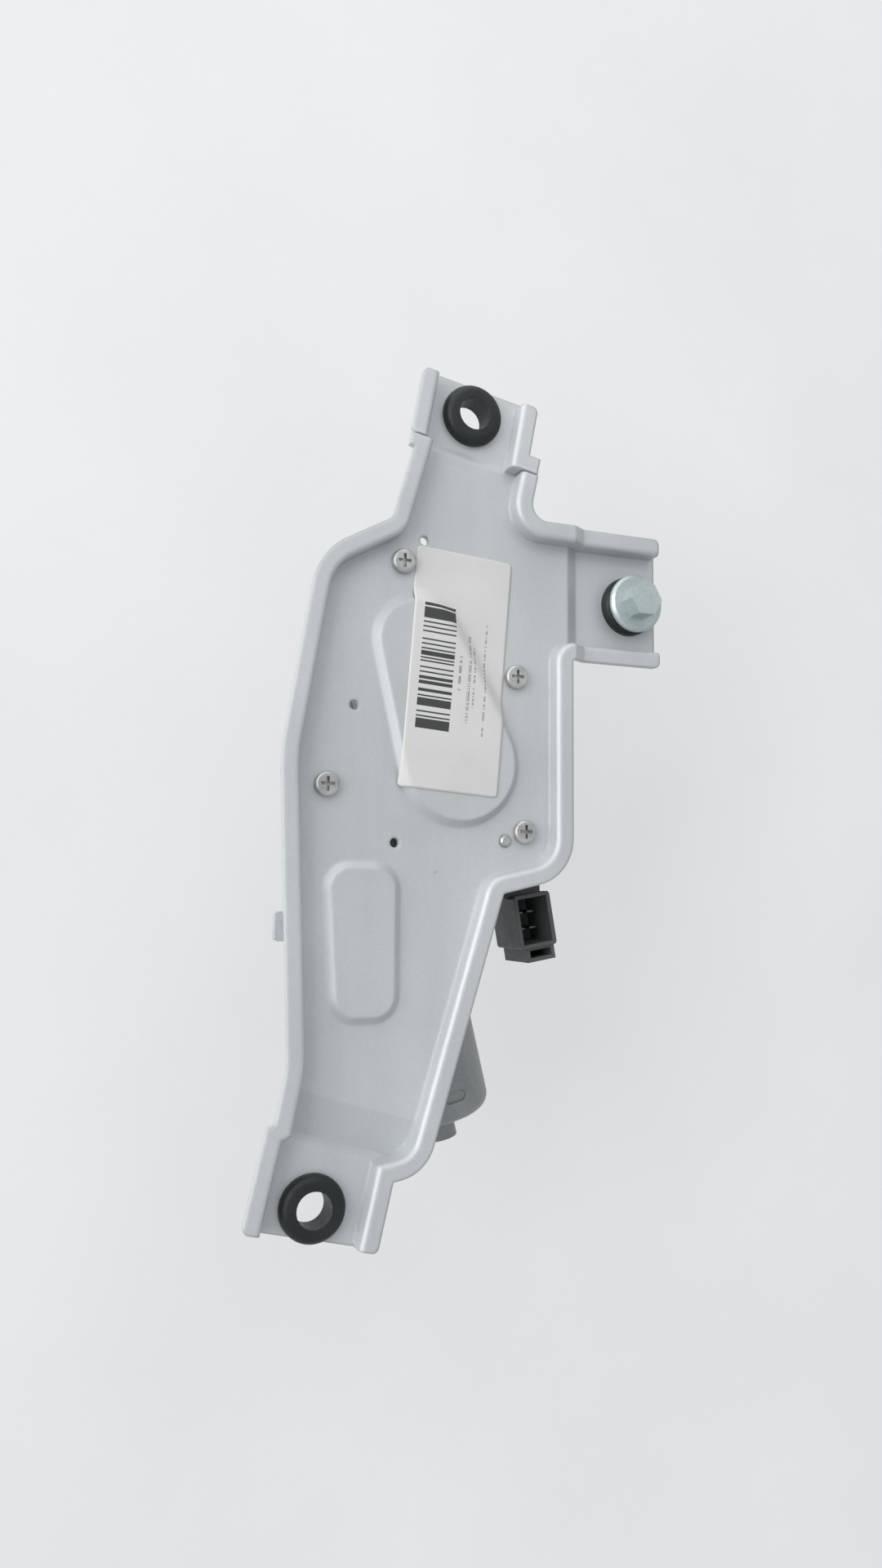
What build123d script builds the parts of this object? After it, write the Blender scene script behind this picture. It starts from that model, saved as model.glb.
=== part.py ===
from build123d import *
import os
from math import acos, atan2, cos, degrees, hypot, pi, radians, sin, tan

# Rear wiper motor on a stamped mounting bracket. Millimetres, +Z up.
# The origin is on the output shaft's axis, where its thread starts. +Y runs along the bracket's straight side.
# A depth is measured down from the upper face of the bracket's floor, and a height up from it.

os.makedirs("parts", exist_ok=True)

# ---- driving dimensions ----
plate_height = 73.0  # upper face of the bracket's floor above the output shaft's thread
sheet = 2.0  # bracket sheet

rim_height = 6.0  # top of the raised rim above the floor
rim_width = 5.6  # from the inner face of the rim's wall to the edge of its lip
fit_gap = 0.05  # running and location clearance, on the radius
slip_gap = 0.3  # clearance between parts that only pass each other

wheel_x, wheel_y = 14.8, -37.8  # worm wheel's axle, from the output shaft
tooth_module = 0.85
wheel_teeth = 50
worm_pitch_r = 4.15
worm_depth = 21.5  # worm axis below the floor's upper face
worm_turn = 13.7  # motor axis, degrees from -Y towards +X

crank_r = 8.0  # crank pin from the wheel's axis
lever_r = 10.5  # lever pin from the shaft's axis
rod_length = 39.42  # between the rod's two eyes

top_mount = (18.6, 76.2)
side_mount = (77.9, 19.1)
bottom_mount = (-30.8, -170.8)
top_pad_turn = -10.5
bottom_pad_turn = -13.0
trough_turn = -17.0
pad_half = 14.8  # half the clear width of the top and bottom pads
top_pad_drop = 1.0
side_pad_drop = 3.0
bottom_pad_drop = 0.5
trough_depth = 3.5

grommet_r = 10.0
grommet_bore = 5.4
grommet_lip = 3.75
grommet_neck = 7.4  # radius of the hole in the sheet

screw_places = [(-4.9, 24.9), (34.3, -9.1), (-28.7, -46.4), (37.4, -59.2)]
screw_r = 2.0
screw_head_r = 3.9
pin_place = (30.8, -62.2)
pin_r = 1.8
small_holes = [(-20.1, -21.6), (-6.5, -63.6), (2.4, 32.6)]
small_hole_r = 1.5

gasket = 0.6
can_r = 18.0
can_wall = 1.6
can_start = 40.0  # along the motor axis from the point nearest the wheel
can_end = 110.0
shaft_r = 5.0
thread_r = 4.0
thread_length = 17.0

bolt_r = 4.0
bolt_length = 30.0
bolt_flats = 10.0
shank_r = 3.7  # the bolt's necked shank inside the sleeve

# ---- values that follow from them ----
wheel_pitch_r = tooth_module * wheel_teeth / 2
centre_distance = worm_pitch_r + wheel_pitch_r
turn = radians(worm_turn)
along = (sin(turn), -cos(turn))
across = (cos(turn), sin(turn))
worm_x = wheel_x - centre_distance * across[0]
worm_y = wheel_y - centre_distance * across[1]
shaft_span = hypot(wheel_x, wheel_y)


def level(depth):
    """The horizontal plane that lies this far below the upper face of the bracket's floor."""
    return Plane.XY.offset(plate_height - depth)


def worm_plane(distance):
    """The plane square to the motor axis at this distance; its x points to the wheel and its y up."""
    return Plane(
        origin=(worm_x + along[0] * distance, worm_y + along[1] * distance, plate_height - worm_depth),
        x_dir=(across[0], across[1], 0),
        z_dir=(along[0], along[1], 0),
    )


def turned(centre, angle, x, y):
    """The plan position of a point given in a frame that is turned about a centre."""
    a = radians(angle)
    return (centre[0] + x * cos(a) - y * sin(a), centre[1] + x * sin(a) + y * cos(a))


def save(piece, name):
    """Labels a finished piece and writes it to its own STEP file."""
    piece.part.label = name
    export_step(piece.part, f"parts/{name}.step")


def tangent_hull(first, first_r, second, second_r):
    """The plan face around two circles, with straight sides that touch both."""
    with BuildSketch() as face:
        with Locations(first):
            Circle(first_r)
        with Locations(second):
            Circle(second_r)
        make_hull()
    return face.sketch


def prism(face, bottom, top):
    """A plan face made solid between two depths below the floor's upper face."""
    with BuildPart() as solid:
        with BuildSketch(level(bottom)):
            add(face)
        extrude(amount=bottom - top)
    return solid.part


def disc(centre, radius, bottom, top):
    """An upright cylinder between two depths."""
    with BuildPart() as solid:
        with BuildSketch(level(bottom)):
            with Locations(centre):
                Circle(radius)
        extrude(amount=bottom - top)
    return solid.part


def drum(radius, start, end):
    """A cylinder on the motor axis between two distances along it."""
    with BuildPart() as solid:
        with BuildSketch(worm_plane(start)):
            Circle(radius)
        extrude(amount=end - start)
    return solid.part


# ---- bracket plate ----
side_end = 88.5
side_top = 36.6
side_bottom = 3.2
main_right = 46.8
pad_end = 9.9  # the top pad ends this far beyond its hole's centre
bottom_pad_end = 8.9
tab_end = 8.0
tab_start = -14.2
notch = 0.6
rim_round = 1.6  # the pressed edge between the rim's wall and its lip
lip_corner = 2.0
bottom_pad_right = 15.4
bottom_pad_top = 16.6
dome_rise = 2.5
dome_r = 20.5
dome_small_r = 14.7
dome_slope = 40.0
bead_slope = 48.0
bead_rise = 2.0


def top_pad(x, y):
    return turned(top_mount, top_pad_turn, x, y)


def bottom_pad(x, y):
    return turned(bottom_mount, bottom_pad_turn, x, y)


# The inner face of the rim's wall, clockwise from the top pad's left end: place, then corner radius.
# A hollow corner's radius is either none or more than the rim's width.
rim_line = [
    (top_pad(-pad_half, pad_end + sheet), 0),
    (top_pad(pad_half, pad_end + sheet), 0),
    (top_pad(pad_half, tab_start), 0),
    ((34.3, 58.8), 0),
    ((29.5, side_top), 11.0),
    ((side_end, side_top), 0),
    ((side_end, side_bottom), 0),
    ((main_right, side_bottom), 7.0),
    ((main_right, -68.8), 10.0),
    ((23.4, -74.2), 7.0),
    ((-1.6, -157.4), 7.5),
    (bottom_pad(bottom_pad_right, bottom_pad_top - 1.0), 0),
    (bottom_pad(bottom_pad_right, -bottom_pad_end - sheet), 0),
    (bottom_pad(-pad_half, -bottom_pad_end - sheet), 0),
    (bottom_pad(-pad_half, bottom_pad_top + 1.0), 0),
    ((-38.6, -149.2), 0),
    ((-34.7, -130.0), 40.0),
    ((-38.4, -38.0), 45.0),
    ((-28.6, 20.4), 15.0),
    ((-5.4, 33.3), 9.0),
    ((3.4, 64.2), 0),
    (top_pad(-pad_half, tab_start), 0),
]


def tray_outline(widening):
    """The plan of the bracket, this much wider all round than the inner face of its rim."""
    with BuildSketch() as face:
        with BuildLine():
            Polyline(*[place for place, radius in rim_line], close=True)
        make_face()
        for place, radius in rim_line:
            if radius:
                fillet(face.vertices().sort_by_distance((place[0], place[1], 0))[0], radius)
        if widening:
            offset(amount=widening, kind=Kind.INTERSECTION)
    return face.sketch


def profile_plane(centre, angle):
    """An upright plane through a centre; its x runs along the turned y direction and its y up."""
    a = radians(angle)
    return Plane(
        origin=(centre[0], centre[1], plate_height),
        x_dir=(-sin(a), cos(a), 0),
        z_dir=(cos(a), sin(a), 0),
    )


# Each stepped zone of the sheet: its plane, and the height of its upper face along it.
top_zone = profile_plane(top_mount, top_pad_turn)
top_line = [(-17.0, 0.0), (-15.5, 0.0), (-13.0, -top_pad_drop), (40.0, -top_pad_drop)]
side_zone = Plane(origin=(0, side_mount[1], plate_height), x_dir=(1, 0, 0), z_dir=(0, -1, 0))
side_line = [(53.0, 0.0), (53.5, 0.0), (58.0, -side_pad_drop), (110.0, -side_pad_drop)]
bottom_zone = profile_plane(bottom_mount, trough_turn)
bottom_line = [
    (-40.0, -bottom_pad_drop),
    (16.9, -bottom_pad_drop),
    (19.6, -trough_depth),
    (31.2, 0.0),
    (34.0, 0.0),
]
bottom_rim = [(-40.0, 0.0), (34.0, 0.0)]


def zone(plane, lower_line, low, upper_line, high):
    """The space over one zone between two stepped lines, moved by the heights low and high."""
    lower = [(x, y + low) for x, y in lower_line]
    upper = [(x, y + high) for x, y in reversed(upper_line)]
    with BuildPart() as space:
        with BuildSketch(plane):
            Polygon(*lower, *upper, align=None)
        extrude(amount=70, both=True)
    return space.part


def zone_room(plane, start, end):
    """A block that holds one whole zone."""
    with BuildPart() as space:
        with BuildSketch(plane):
            Polygon((start, -20), (end, -20), (end, 20), (start, 20), align=None)
        extrude(amount=70, both=True)
    return space.part


def band(low, high, low_bottom, high_bottom):
    """The space between two surfaces that follow the stepped sheet at two heights."""
    with BuildPart() as space:
        with BuildSketch(level(-low)):
            Rectangle(500, 500)
        extrude(amount=high - low)
        add(zone_room(side_zone, 53.0, 110.0), mode=Mode.SUBTRACT)
        add(zone_room(top_zone, -17.0, 40.0), mode=Mode.SUBTRACT)
        add(zone_room(bottom_zone, -40.0, 34.0), mode=Mode.SUBTRACT)
        add(zone(side_zone, side_line, low, side_line, high))
        add(zone(top_zone, top_line, low, top_line, high))
        add(zone(bottom_zone, low_bottom, low, high_bottom, high))
    return space.part


def ring_under(face_r, widening, bottom, top):
    """The bracket's plan between the rim's inner face and the given widening, as a solid."""
    with BuildPart() as solid:
        add(prism(tray_outline(widening), bottom, top))
        if face_r:
            add(prism(tray_outline(0), bottom + 1, top - 1), mode=Mode.SUBTRACT)
    return solid.part


def dome_solid(extra, base_depth, rise):
    """The raised dome over the gears, this much larger all round."""
    with BuildPart() as solid:
        with BuildSketch(level(base_depth)):
            add(tangent_hull((wheel_x, wheel_y), dome_r + extra, (0, 0), dome_small_r + extra))
        extrude(amount=rise, taper=dome_slope)
    return solid.part


bead_line = [(-30.0, -69.4), (-26.6, -118.5), (-4.5, -118.5), (-4.5, -69.4)]


def bead_solid(extra, base_depth, rise):
    """The raised stiffening bead over the motor, this much larger all round."""
    with BuildPart() as solid:
        with BuildSketch(level(base_depth)) as base:
            Polygon(*bead_line, align=None)
            fillet(base.vertices(), 8.5)
            if extra:
                offset(amount=extra)
        extrude(amount=rise, taper=bead_slope)
    return solid.part


def pad_block(centre, angle, low_y, high_y, half_width, bottom, top):
    """A block turned with a pad, between two distances along it and two depths."""
    a = radians(angle)
    plane = Plane(
        origin=(centre[0], centre[1], plate_height - bottom),
        x_dir=(cos(a), sin(a), 0),
        z_dir=(0, 0, 1),
    )
    with BuildPart() as solid:
        with BuildSketch(plane):
            with Locations((0, (low_y + high_y) / 2)):
                Rectangle(2 * half_width, high_y - low_y)
        extrude(amount=bottom - top)
    return solid.part


inset = 0.36 * sheet  # the hollow of a pressing is this much tighter than its outside

with BuildPart() as tray_floor:
    add(ring_under(0, sheet, 15, -10))
    add(band(-sheet, 0, bottom_line, bottom_line), mode=Mode.INTERSECT)
with BuildPart() as tray_wall:
    add(ring_under(1, sheet, 15, -10))
    add(band(-sheet, rim_height, bottom_line, bottom_rim), mode=Mode.INTERSECT)
with BuildPart() as tray_lip:
    add(ring_under(1, rim_width, 15, -10))
    add(band(rim_height - sheet, rim_height, bottom_rim, bottom_rim), mode=Mode.INTERSECT)

with BuildPart() as tray_rim:
    add(tray_wall.part)
    add(tray_lip.part)
    # no rim along the pads' ends, and a relief notch beside each tab of the top pad
    add(pad_block(top_mount, top_pad_turn, tab_end, 60, 40, 15, -20), mode=Mode.SUBTRACT)
    add(pad_block(top_mount, top_pad_turn, tab_start - notch, tab_start, pad_half + 11, 15, -20), mode=Mode.SUBTRACT)
    add(pad_block(bottom_mount, bottom_pad_turn, -60, -bottom_pad_end, 40, 15, -20), mode=Mode.SUBTRACT)
    with BuildSketch(level(15)):
        with Locations((side_end + 28.5, side_mount[1])):
            Rectangle(60, 80)
    extrude(amount=35, mode=Mode.SUBTRACT)


def follows(edge, line):
    """Whether both ends and the middle of an edge lie over a line in plan."""
    for share in (0.0, 0.5, 1.0):
        place = edge.position_at(share)
        spot = Vertex(place.X, place.Y, 0)
        if min(part.distance_to(spot) for part in line) > 0.01:
            return False
    return True


def soft_rim(solid):
    """One length of the rim with its pressed edge rounded and the corners at its free ends eased."""
    lip_low = plate_height + rim_height - side_pad_drop - sheet - 0.5
    corners = []
    for edge in solid.edges().filter_by(Axis.Z):
        place = edge.position_at(0.5)
        if place.Z > lip_low and min(hypot(place.X - x, place.Y - y) for x, y in free_ends) < 0.1:
            corners.append(edge)
    if corners:
        solid = solid.fillet(lip_corner, corners)
    inner_line = tray_outline(0).edges()
    crest = []
    for edge in solid.edges():
        rise = abs(edge.position_at(0).Z - edge.position_at(1).Z)
        if rise <= 0.9 * edge.length and edge.position_at(0.5).Z > lip_low + 1 and follows(edge, inner_line):
            crest.append(edge)
    return solid.fillet(rim_round, crest)


# The outer corners of the lip at the rim's free ends.
free_ends = [
    top_pad(-pad_half - rim_width, tab_end),
    top_pad(pad_half + rim_width, tab_end),
    top_pad(-pad_half - rim_width, tab_start),
    top_pad(pad_half + rim_width, tab_start),
    (side_end - 1.5, side_top + rim_width),
    (side_end - 1.5, side_bottom - rim_width),
    bottom_pad(-pad_half - rim_width, -bottom_pad_end),
    bottom_pad(bottom_pad_right + rim_width, -bottom_pad_end),
]

with BuildPart() as bracket_plate:
    add(tray_floor.part)
    add(pad_block(top_mount, top_pad_turn, pad_end, 60, 40, 15, -20), mode=Mode.SUBTRACT)
    add(pad_block(bottom_mount, bottom_pad_turn, -60, -bottom_pad_end, 40, 15, -20), mode=Mode.SUBTRACT)
    with BuildSketch(level(15)):
        with Locations((side_end + 30, side_mount[1])):
            Rectangle(60, 80)
    extrude(amount=35, mode=Mode.SUBTRACT)
    for length in tray_rim.part.solids():
        add(soft_rim(length))
    add(dome_solid(0, 0, dome_rise))
    add(bead_solid(0, 0, bead_rise))
    add(dome_solid(-inset, sheet, dome_rise), mode=Mode.SUBTRACT)
    add(bead_solid(-inset, sheet, bead_rise), mode=Mode.SUBTRACT)
    with BuildSketch(level(15)):
        with Locations(top_mount, side_mount, bottom_mount):
            Circle(grommet_neck)
        with Locations(*screw_places):
            Circle(screw_r + 0.2)
        with Locations(*small_holes):
            Circle(small_hole_r)
        with Locations(pin_place):
            Circle(pin_r + fit_gap)
    extrude(amount=35, mode=Mode.SUBTRACT)
save(bracket_plate, "bracket_plate")


# ---- rubber grommets ----
def make_grommet(centre, surface, name):
    """A rubber bush seated in a hole of the sheet, whose upper face lies at this depth."""
    with BuildPart() as grommet:
        with BuildSketch(level(surface + sheet + grommet_lip)):
            with Locations(centre):
                Circle(grommet_r)
        extrude(amount=2 * grommet_lip + sheet)
        outer = grommet.edges().filter_by(GeomType.CIRCLE)
        fillet(outer, 2.6)
        with BuildSketch(level(surface + sheet)):
            with Locations(centre):
                Circle(grommet_r + 1)
                Circle(grommet_neck, mode=Mode.SUBTRACT)
        extrude(amount=sheet, mode=Mode.SUBTRACT)
        with BuildSketch(level(surface + sheet + grommet_lip + 1)):
            with Locations(centre):
                Circle(grommet_bore)
        extrude(amount=2 * grommet_lip + sheet + 2, mode=Mode.SUBTRACT)
    save(grommet, name)


make_grommet(top_mount, top_pad_drop, "grommet_top")
make_grommet(side_mount, side_pad_drop, "grommet_side")
make_grommet(bottom_mount, bottom_pad_drop, "grommet_bottom")


# ---- side sleeve and mounting bolt ----
sleeve_top = side_pad_drop - 5.2
sleeve_bottom = side_pad_drop + sheet + grommet_lip + 0.8
bolt_flange_r = 9.7
bolt_flange = 2.0
bolt_head = 6.0

with BuildPart() as side_sleeve:
    with BuildSketch(level(sleeve_bottom)):
        with Locations(side_mount):
            Circle(grommet_bore)
            Circle(bolt_r + 0.1, mode=Mode.SUBTRACT)
    extrude(amount=sleeve_bottom - sleeve_top)
save(side_sleeve, "side_sleeve")

with BuildPart() as mounting_bolt:
    add(disc(side_mount, bolt_flange_r, sleeve_top, sleeve_top - bolt_flange))
    chamfer(mounting_bolt.edges().filter_by(GeomType.CIRCLE).sort_by(Axis.Z)[-1], 0.9)
    with BuildSketch(level(sleeve_top - bolt_flange)):
        with Locations(side_mount):
            RegularPolygon(bolt_flats / 2, 6, major_radius=False)
    extrude(amount=bolt_head)
    add(disc(side_mount, shank_r, sleeve_bottom + 1.0, sleeve_top))
    add(disc(side_mount, bolt_r, sleeve_top + bolt_length, sleeve_bottom + 1.0))
    chamfer(mounting_bolt.edges().filter_by(GeomType.CIRCLE).sort_by(Axis.Z)[0], 0.7)
save(mounting_bolt, "mounting_bolt")


# ---- gear housing ----
case_top = sheet + gasket
case_lip = 7.0
wheel_pot_r = 24.0
lever_pot_r = 17.5
case_wall = 3.0
lever_floor = 13.0
wheel_floor = 27.5
tunnel_r = 6.6
tunnel_wall_r = 10.0
tunnel_start = -26.5
boss_r = 5.0
boss_depth = 16.0
tower_r = 13.0
tower_end = 58.0
bush_r = 8.0
axle_r = 4.0
flange_start = 33.0
flange_end = 38.0
flange_r = 18.4
ear_reach = 21.5
ear_turns = (150.0, -30.0)
ear_r = 3.8
ear_screw_r = 1.6
brush_plate = 3.0
output_axis = (0, 0)
wheel_axis = (wheel_x, wheel_y)
pin_boss_r = 4.0


def case_outline():
    """The plan of the housing's top rim, with its screw bosses."""
    with BuildSketch() as face:
        add(tangent_hull(wheel_axis, wheel_pot_r + case_wall, output_axis, lever_pot_r + case_wall))
        add(tangent_hull(screw_places[0], boss_r, output_axis, lever_pot_r))
        add(tangent_hull(screw_places[1], boss_r, wheel_axis, wheel_pot_r))
        add(tangent_hull(screw_places[2], boss_r, wheel_axis, wheel_pot_r))
        add(tangent_hull(screw_places[3], boss_r, wheel_axis, wheel_pot_r))
        add(tangent_hull(pin_place, pin_boss_r, wheel_axis, wheel_pot_r))
    return face.sketch


def case_holes(radius_extra):
    """The plan of the screw holes and the pin hole."""
    with BuildSketch() as face:
        with Locations(*screw_places):
            Circle(screw_r + radius_extra)
        with Locations(pin_place):
            Circle(pin_r + (fit_gap if radius_extra else 0))
    return face.sketch


def ear_outline(radius, ears):
    """A round flange on the motor axis with its two screw ears, as a face at the origin."""
    with BuildSketch() as face:
        Circle(radius)
        for angle in ear_turns:
            a = radians(angle)
            add(tangent_hull((0, 0), ears + 4, (ear_reach * cos(a), ear_reach * sin(a)), ears))
    return face.sketch


def ear_solid(radius, ears, start, end):
    """The eared flange made solid between two distances along the motor axis."""
    with BuildPart() as solid:
        with BuildSketch(worm_plane(start)):
            add(ear_outline(radius, ears))
        extrude(amount=end - start)
    return solid.part


def ear_pins(radius, start, end):
    """Two cylinders on the ears' centres between two distances along the motor axis."""
    places = [(ear_reach * cos(radians(angle)), ear_reach * sin(radians(angle))) for angle in ear_turns]
    with BuildPart() as solid:
        with BuildSketch(worm_plane(start)):
            with Locations(*places):
                Circle(radius)
        extrude(amount=end - start)
    return solid.part


with BuildPart() as gear_housing:
    add(prism(tangent_hull(wheel_axis, wheel_pot_r + case_wall, output_axis, lever_pot_r + case_wall), lever_floor + 4, case_top))
    add(disc(wheel_axis, wheel_pot_r + case_wall, wheel_floor + 3.5, lever_floor))
    add(disc(wheel_axis, 8.0, wheel_floor + 7.5, wheel_floor))
    add(prism(case_outline(), case_lip + case_top, case_top))
    with BuildSketch(level(boss_depth)):
        with Locations(*screw_places):
            Circle(boss_r)
        with Locations(pin_place):
            Circle(pin_boss_r)
    extrude(amount=boss_depth - case_top)
    # output tower
    with BuildSketch(level(lever_floor + 2)):
        Circle(tower_r)
    extrude(amount=-(tower_end - lever_floor - 2), taper=3.0)
    # worm tunnel and motor flange
    add(drum(tunnel_wall_r, tunnel_start - 3.5, flange_end))
    add(ear_solid(flange_r, ear_r, flange_start, flange_end))
    add(ear_pins(ear_r, flange_start - 7, flange_start + 1))
    # cavities
    add(drum(tunnel_r, tunnel_start, flange_end + 1), mode=Mode.SUBTRACT)
    add(disc(wheel_axis, wheel_pot_r, wheel_floor, -1), mode=Mode.SUBTRACT)
    add(prism(tangent_hull(wheel_axis, wheel_pot_r, output_axis, lever_pot_r), lever_floor, -1), mode=Mode.SUBTRACT)
    add(disc(output_axis, bush_r, tower_end + 5, lever_floor - 1), mode=Mode.SUBTRACT)
    add(disc(wheel_axis, axle_r, wheel_floor + 6.5, wheel_floor - 1), mode=Mode.SUBTRACT)
    add(prism(case_holes(0), boss_depth - 1.5, -1), mode=Mode.SUBTRACT)
    add(ear_pins(ear_screw_r, flange_start - 5, flange_end + 1), mode=Mode.SUBTRACT)
save(gear_housing, "gear_housing")

with BuildPart() as cover_gasket:
    add(prism(case_outline(), case_top, sheet))
    add(prism(tangent_hull(wheel_axis, wheel_pot_r, output_axis, lever_pot_r), case_top + 1, sheet - 1), mode=Mode.SUBTRACT)
    add(prism(case_holes(0.2), case_top + 1, sheet - 1), mode=Mode.SUBTRACT)
save(cover_gasket, "cover_gasket")

with BuildPart() as cover_screws:
    with BuildSketch(level(boss_depth - 2.0)):
        with Locations(*screw_places):
            Circle(screw_r)
    extrude(amount=boss_depth - 2.0)
    with BuildSketch(level(0)):
        with Locations(*screw_places):
            Circle(screw_head_r)
    extrude(amount=2.4)
    top_edges = cover_screws.edges().filter_by(GeomType.CIRCLE).group_by(Axis.Z)[-1]
    fillet(top_edges, 1.0)
    with BuildSketch(level(-0.9)):
        with Locations(*screw_places):
            Rectangle(4.4, 1.0)
            Rectangle(1.0, 4.4)
    extrude(amount=3, mode=Mode.SUBTRACT)
save(cover_screws, "cover_screws")

with BuildPart() as locating_pin:
    add(disc(pin_place, pin_r, boss_depth - 2.0, -1.2))
    chamfer(locating_pin.edges().filter_by(GeomType.CIRCLE).sort_by(Axis.Z)[-1], 0.5)
save(locating_pin, "locating_pin")


# ---- output shaft, its bushes, seal and retainers ----
thrust_washer = 1.9
lever_bottom = lever_floor - thrust_washer - 0.1
lever_thick = 4.0
lever_top = lever_bottom - lever_thick
seal_length = 4.0

with BuildPart() as shaft_bushes:
    with BuildSketch(level(27.0)):
        Circle(bush_r)
        Circle(shaft_r + fit_gap, mode=Mode.SUBTRACT)
    extrude(amount=27.0 - lever_floor)
    with BuildSketch(level(tower_end - seal_length)):
        Circle(bush_r)
        Circle(shaft_r + fit_gap, mode=Mode.SUBTRACT)
    extrude(amount=12.0)
save(shaft_bushes, "shaft_bushes")

with BuildPart() as shaft_seal:
    with BuildSketch(level(tower_end)):
        Circle(bush_r)
        Circle(shaft_r + fit_gap, mode=Mode.SUBTRACT)
    extrude(amount=seal_length)
save(shaft_seal, "shaft_seal")

with BuildPart() as thrust_ring:
    with BuildSketch(level(lever_floor)):
        Circle(bush_r)
        Circle(shaft_r + 0.1, mode=Mode.SUBTRACT)
    extrude(amount=thrust_washer)
save(thrust_ring, "thrust_ring")

groove_depth = tower_end + 1.1
with BuildPart() as output_shaft:
    add(disc(output_axis, shaft_r, 66.0, lever_top))
    with BuildSketch(level(73.0)):
        Circle(thread_r)
    with BuildSketch(level(66.0)):
        Circle(shaft_r)
    loft()
    add(disc(output_axis, thread_r, 73.0 + thread_length, 73.0))
    chamfer(output_shaft.edges().filter_by(GeomType.CIRCLE).sort_by(Axis.Z)[0], 0.7)
    with BuildSketch(level(groove_depth + 1.0)):
        Circle(shaft_r + 1)
        Circle(shaft_r - 0.8, mode=Mode.SUBTRACT)
    extrude(amount=1.0, mode=Mode.SUBTRACT)
save(output_shaft, "output_shaft")

with BuildPart() as shaft_washer:
    with BuildSketch(level(groove_depth)):
        Circle(shaft_r + 3.4)
        Circle(shaft_r + 0.1, mode=Mode.SUBTRACT)
    extrude(amount=1.0)
save(shaft_washer, "shaft_washer")

with BuildPart() as shaft_clip:
    with BuildSketch(level(groove_depth + 1.0)):
        Circle(shaft_r + 1.9)
        Circle(shaft_r - 0.8, mode=Mode.SUBTRACT)
        with Locations((5, 0)):
            Rectangle(10, 4.0, mode=Mode.SUBTRACT)
    extrude(amount=1.0)
save(shaft_clip, "shaft_clip")


# ---- crank linkage: worm wheel's crank pin, connecting rod, output lever ----
rod_low = 6.5
rod_thick = 2.5
link_pin_r = 2.5
eye_r = 5.5
# at rest the linkage is at its outer dead centre: wheel axis, crank pin and lever pin lie on one line
reach = rod_length + crank_r
park_cos = (reach ** 2 + shaft_span ** 2 - lever_r ** 2) / (2 * reach * shaft_span)
park = atan2(-wheel_y, -wheel_x) + acos(park_cos)
crank_place = (wheel_x + crank_r * cos(park), wheel_y + crank_r * sin(park))
lever_place = (wheel_x + reach * cos(park), wheel_y + reach * sin(park))
crank_disc_r = 12.0
crank_disc_top = 12.0
hub_top = 14.0
wheel_top = 17.0
wheel_bottom = 26.0
hub_r = 9.0

with BuildPart() as output_lever:
    with BuildSketch(level(lever_bottom)):
        add(tangent_hull((0, 0), 8.0, lever_place, 5.0))
        Circle(shaft_r, mode=Mode.SUBTRACT)
        with Locations(lever_place):
            Circle(link_pin_r, mode=Mode.SUBTRACT)
    extrude(amount=lever_thick)
save(output_lever, "output_lever")

with BuildPart() as lever_pin:
    add(disc(lever_place, link_pin_r, lever_bottom, rod_low - rod_thick))
    add(disc(lever_place, link_pin_r + 1.0, lever_top, rod_low + 0.05))
    add(disc(lever_place, link_pin_r + 1.1, rod_low - rod_thick - 0.1, rod_low - rod_thick - 0.9))
    add(disc(lever_place, link_pin_r, rod_low - rod_thick + 0.5, rod_low - rod_thick - 0.5))
save(lever_pin, "lever_pin")

with BuildPart() as connecting_rod:
    with BuildSketch(level(rod_low)):
        add(tangent_hull(crank_place, 3.2, lever_place, 3.2))
        with Locations(crank_place, lever_place):
            Circle(eye_r)
        with Locations(crank_place, lever_place):
            Circle(link_pin_r + fit_gap, mode=Mode.SUBTRACT)
    extrude(amount=rod_thick)
save(connecting_rod, "connecting_rod")

with BuildPart() as crank_pin:
    add(disc(crank_place, link_pin_r, hub_top, rod_low + slip_gap))
save(crank_pin, "crank_pin")

with BuildPart() as crank_disc:
    with BuildSketch(level(hub_top)):
        with Locations(wheel_axis):
            Circle(crank_disc_r)
            Circle(axle_r + fit_gap, mode=Mode.SUBTRACT)
        with Locations(crank_place):
            Circle(link_pin_r, mode=Mode.SUBTRACT)
    extrude(amount=hub_top - crank_disc_top)
save(crank_disc, "crank_disc")

with BuildPart() as wheel_axle:
    add(disc(wheel_axis, axle_r, wheel_floor + 6.5, crank_disc_top - 1.5))
    with BuildSketch(level(crank_disc_top - 0.1)):
        with Locations(wheel_axis):
            Circle(axle_r + 1)
            Circle(axle_r - 0.8, mode=Mode.SUBTRACT)
    extrude(amount=0.8, mode=Mode.SUBTRACT)
save(wheel_axle, "wheel_axle")

with BuildPart() as axle_clip:
    with BuildSketch(level(crank_disc_top - 0.1)):
        with Locations(wheel_axis):
            Circle(axle_r + 1.3)
            Circle(axle_r - 0.8, mode=Mode.SUBTRACT)
        with Locations((wheel_x - 4, wheel_y)):
            Rectangle(8, 3.6, mode=Mode.SUBTRACT)
    extrude(amount=0.8)
save(axle_clip, "axle_clip")


# ---- worm wheel ----
tip_r = wheel_pitch_r + 0.75
root_r = wheel_pitch_r - 1.15
tooth_half = 0.55
flank = tan(radians(20))
lead = pi * tooth_module
lead_angle = atan2(lead, 2 * pi * worm_pitch_r)
tooth_slant = degrees((wheel_bottom - wheel_top) / 2 * tan(lead_angle) / wheel_pitch_r)
ring_low_r = 12.3
ring_high_r = 18.0


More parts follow.
